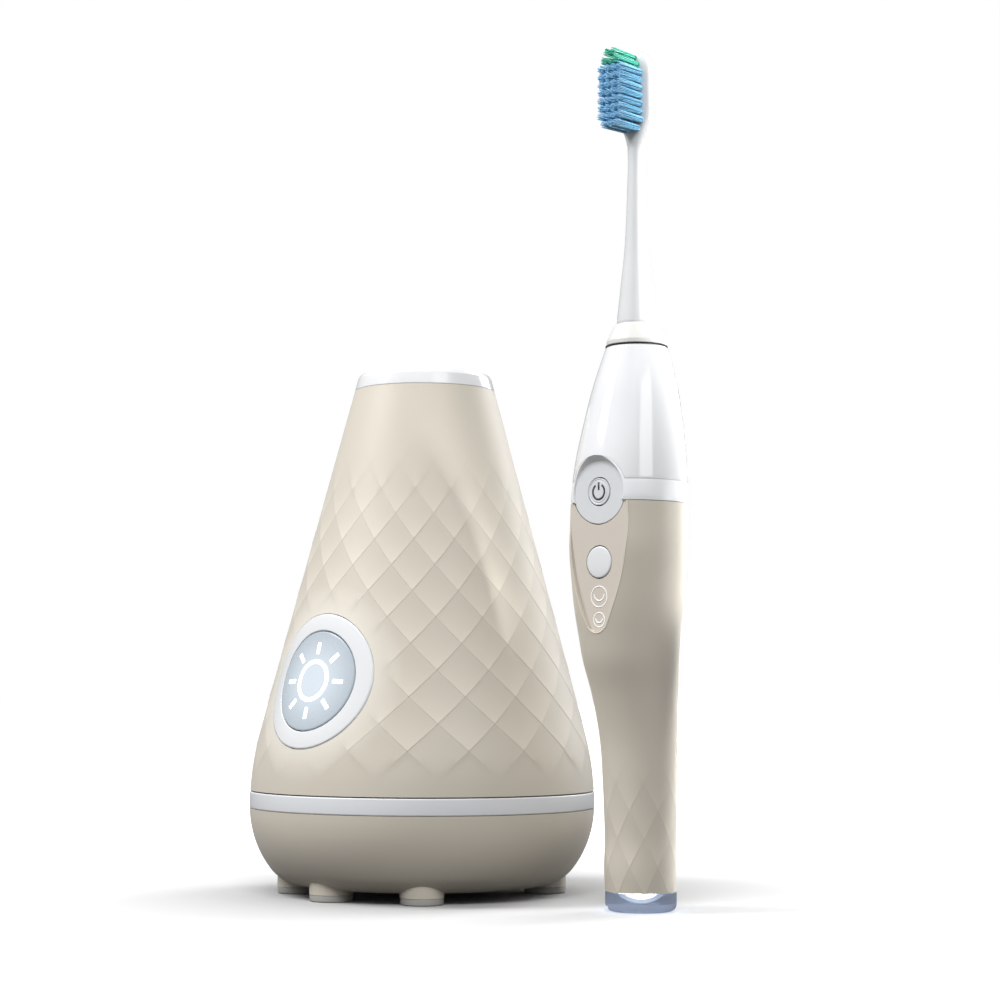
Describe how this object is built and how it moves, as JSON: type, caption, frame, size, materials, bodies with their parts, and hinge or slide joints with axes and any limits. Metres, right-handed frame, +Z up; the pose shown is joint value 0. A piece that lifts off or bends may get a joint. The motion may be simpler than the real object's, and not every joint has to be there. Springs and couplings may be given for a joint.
{
  "type": "toothbrush sanitizer",
  "caption": "Cone-shaped UV drying and charging station with a round front button, and the sonic toothbrush that docks in its top mouth.",
  "frame": {"origin": "on the standing surface, at the centre of the set's footprint; station at -X, toothbrush at +X", "axes": "+Z up; -Y is the front of both units, with their buttons; +X from the station to the toothbrush"},
  "size_m": [0.1486, 0.1026, 0.24],
  "materials": {
    "shell_beige": "fine soft-touch",
    "rim_white": "satin",
    "band_white": "satin",
    "inner_plastic": "satin",
    "chamber_mirror": "polished",
    "quartz": "clear",
    "board_green": "solder-masked",
    "led": "gloss",
    "copper": "wound wire",
    "black_plastic": "matt",
    "steel": "plated",
    "bezel_white": "gloss",
    "lens_grey": "translucent gloss",
    "symbol_white": "lit",
    "rubber_grey": "matt",
    "rubber_black": "matt",
    "housing_white": "gloss",
    "collar_grey": "satin",
    "panel_beige": "satin",
    "icon_white": "printed",
    "symbol_dark": "printed",
    "cap_clear": "translucent",
    "dome_white": "lit",
    "battery_grey": "shrink sleeve",
    "ring_cream": "satin",
    "stem_white": "gloss",
    "bristle_blue": "nylon filament",
    "bristle_green": "nylon filament"
  },
  "bodies": {
    "station": {"outer_shell": "shell_beige", "trim_band": "band_white", "lower_bowl": "shell_beige", "foot_pads": "rubber_grey", "bowl_screws": "steel", "top_rim": "rim_white", "rim_gasket": "rubber_grey", "dock_sleeve": "inner_plastic", "uv_chamber": "chamber_mirror", "uv_windows": "quartz", "uv_lamp_boards": "board_green", "uv_leds": "led", "charging_coil": "copper", "coil_bobbin": "black_plastic", "chassis": "inner_plastic", "fan_frame": "black_plastic", "fan_screws": "steel", "main_board": "board_green", "board_components": "black_plastic", "power_inlet": "black_plastic", "inlet_pin": "steel", "inlet_leads": "rubber_black", "button_bezel": "bezel_white", "button_guide": "inner_plastic", "button_board": "board_green", "button_switch": "black_plastic", "button_leds": "led"},
    "station_button": {"button_lens": "lens_grey", "button_symbol": "symbol_white", "button_plunger": "lens_grey"},
    "fan_rotor": {"fan_rotor": "black_plastic"},
    "handle": {"grip_shell": "shell_beige", "upper_housing": "housing_white", "control_collar": "collar_grey", "control_panel": "panel_beige", "mode_icons": "icon_white", "end_cap": "cap_clear", "status_dome": "dome_white", "cap_seal": "rubber_black", "battery": "battery_grey", "motor": "steel", "handle_board": "board_green", "handle_switches": "black_plastic", "receiver_coil": "copper", "shaft_gland": "rubber_grey", "neck_seal": "rubber_black"},
    "power_button": {"power_button": "collar_grey", "power_symbol": "symbol_dark"},
    "mode_button": {"mode_button": "bezel_white"},
    "drive": {"drive_shaft": "steel"},
    "brush_head": {"colour_ring": "ring_cream", "brush_stem": "stem_white", "tufts_main": "bristle_blue", "tufts_tip": "bristle_green"}
  },
  "joints": [
    {"name": "station_button_press", "type": "slide", "parent": "station", "child": "station_button", "axis": [0, 0.9664, -0.2571], "range_m": [0, 0.0009], "stiffness_N_per_m": 1200, "springref_m": -0.0006},
    {"name": "fan_spin", "type": "hinge", "parent": "station", "child": "fan_rotor", "pos_m": [-0.02297, 0, 0.0175], "axis": [0, 0, 1], "continuous": true},
    {"name": "toothbrush_lift", "type": "slide", "parent": "station", "child": "handle", "axis": [0, 0, 1], "range_m": [0, 0.26]},
    {"name": "power_button_press", "type": "slide", "parent": "handle", "child": "power_button", "axis": [0, 1, 0], "range_m": [0, 0.0005], "stiffness_N_per_m": 1200, "springref_m": -0.0006},
    {"name": "mode_button_press", "type": "slide", "parent": "handle", "child": "mode_button", "axis": [0, 1, 0], "range_m": [0, 0.0005], "stiffness_N_per_m": 1200, "springref_m": -0.0006},
    {"name": "drive_swing", "type": "hinge", "parent": "handle", "child": "drive", "pos_m": [0.05803, 0.0025, 0.14], "axis": [0, 0, 1], "range_deg": [-4, 4], "stiffness_Nm_per_rad": 0.05},
    {"name": "head_pull", "type": "slide", "parent": "drive", "child": "brush_head", "axis": [0, 0, 1], "range_m": [0, 0.03]}
  ]
}
